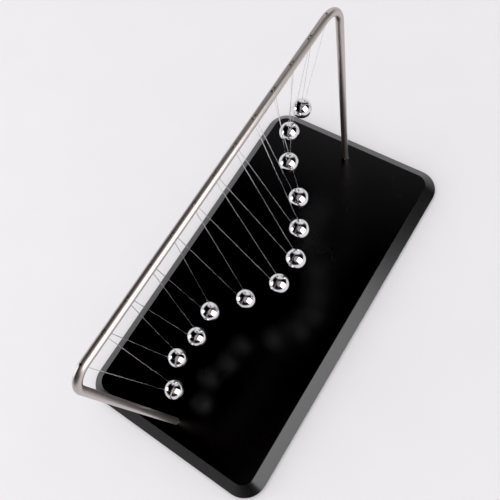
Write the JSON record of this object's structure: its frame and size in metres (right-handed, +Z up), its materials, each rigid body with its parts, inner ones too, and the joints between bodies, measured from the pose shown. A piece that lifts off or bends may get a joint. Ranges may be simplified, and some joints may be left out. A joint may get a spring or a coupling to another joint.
{
  "type": "pendulum wave toy",
  "caption": "Desk toy in which a row of steel balls on thread Vs of graded length hangs from a bent rod on a bevelled black slab and swings in waves.",
  "frame": {"origin": "on the table, centre of the slab's outline, at the underside of the foot pads", "axes": "+X along the rod towards the upright beside the shortest pendulum, +Y across the rod, +Z up. The rest pose is a moment of the swing: each pendulum leans by its own angle about +X from hanging straight down, from the first (shortest) to the last: 13.3, 12.3, 5.4, -6.1, -12.6, -17.0, -15.2, -6.4, 2.8, 2.6, 4.8, 1.0 degrees"},
  "size_m": [0.229, 0.1234, 0.146],
  "materials": {
    "black_lacquer": "satin black lacquer on fibreboard",
    "satin_steel": "fine lengthwise polish",
    "polished_ball_steel": "mirror polished",
    "clear_nylon": "clear monofilament",
    "clear_glue": "set clear glue",
    "pad_rubber": "matt"
  },
  "bodies": {
    "stand": {"base_slab": "black_lacquer", "foot_pad_near_right": "pad_rubber", "foot_pad_near_left": "pad_rubber", "foot_pad_far_right": "pad_rubber", "foot_pad_far_left": "pad_rubber", "frame_rod": "satin_steel", "thread_ends": "clear_nylon", "glue_plugs": "clear_glue", "glue_drops_near": "clear_glue", "glue_drops_middle": "clear_glue", "glue_drops_far": "clear_glue"},
    "pendulum_01": {"ball_01": "polished_ball_steel", "thread_01": "clear_nylon"},
    "pendulum_02": {"ball_02": "polished_ball_steel", "thread_02": "clear_nylon"},
    "pendulum_03": {"ball_03": "polished_ball_steel", "thread_03": "clear_nylon"},
    "pendulum_04": {"ball_04": "polished_ball_steel", "thread_04": "clear_nylon"},
    "pendulum_05": {"ball_05": "polished_ball_steel", "thread_05": "clear_nylon"},
    "pendulum_06": {"ball_06": "polished_ball_steel", "thread_06": "clear_nylon"},
    "pendulum_07": {"ball_07": "polished_ball_steel", "thread_07": "clear_nylon"},
    "pendulum_08": {"ball_08": "polished_ball_steel", "thread_08": "clear_nylon"},
    "pendulum_09": {"ball_09": "polished_ball_steel", "thread_09": "clear_nylon"},
    "pendulum_10": {"ball_10": "polished_ball_steel", "thread_10": "clear_nylon"},
    "pendulum_11": {"ball_11": "polished_ball_steel", "thread_11": "clear_nylon"},
    "pendulum_12": {"ball_12": "polished_ball_steel", "thread_12": "clear_nylon"}
  },
  "joints": [
    {"name": "swing_01", "type": "hinge", "parent": "stand", "child": "pendulum_01", "pos_m": [0.0814, 0, 0.1416], "axis": [1, 0, 0], "range_deg": [-63.3, 36.7]},
    {"name": "swing_02", "type": "hinge", "parent": "stand", "child": "pendulum_02", "pos_m": [0.0664, 0, 0.1416], "axis": [1, 0, 0], "range_deg": [-62.3, 37.7]},
    {"name": "swing_03", "type": "hinge", "parent": "stand", "child": "pendulum_03", "pos_m": [0.0514, 0, 0.1416], "axis": [1, 0, 0], "range_deg": [-55.4, 44.6]},
    {"name": "swing_04", "type": "hinge", "parent": "stand", "child": "pendulum_04", "pos_m": [0.0364, 0, 0.1416], "axis": [1, 0, 0], "range_deg": [-43.9, 56.1]},
    {"name": "swing_05", "type": "hinge", "parent": "stand", "child": "pendulum_05", "pos_m": [0.0214, 0, 0.1416], "axis": [1, 0, 0], "range_deg": [-37.4, 62.6]},
    {"name": "swing_06", "type": "hinge", "parent": "stand", "child": "pendulum_06", "pos_m": [0.0064, 0, 0.1416], "axis": [1, 0, 0], "range_deg": [-33, 67]},
    {"name": "swing_07", "type": "hinge", "parent": "stand", "child": "pendulum_07", "pos_m": [-0.0086, 0, 0.1416], "axis": [1, 0, 0], "range_deg": [-34.8, 65.2]},
    {"name": "swing_08", "type": "hinge", "parent": "stand", "child": "pendulum_08", "pos_m": [-0.0236, 0, 0.1416], "axis": [1, 0, 0], "range_deg": [-43.6, 56.4]},
    {"name": "swing_09", "type": "hinge", "parent": "stand", "child": "pendulum_09", "pos_m": [-0.0386, 0, 0.1416], "axis": [1, 0, 0], "range_deg": [-52.8, 47.2]},
    {"name": "swing_10", "type": "hinge", "parent": "stand", "child": "pendulum_10", "pos_m": [-0.0536, 0, 0.1416], "axis": [1, 0, 0], "range_deg": [-52.6, 47.4]},
    {"name": "swing_11", "type": "hinge", "parent": "stand", "child": "pendulum_11", "pos_m": [-0.0686, 0, 0.1416], "axis": [1, 0, 0], "range_deg": [-54.8, 45.2]},
    {"name": "swing_12", "type": "hinge", "parent": "stand", "child": "pendulum_12", "pos_m": [-0.0836, 0, 0.1416], "axis": [1, 0, 0], "range_deg": [-51, 49]}
  ]
}
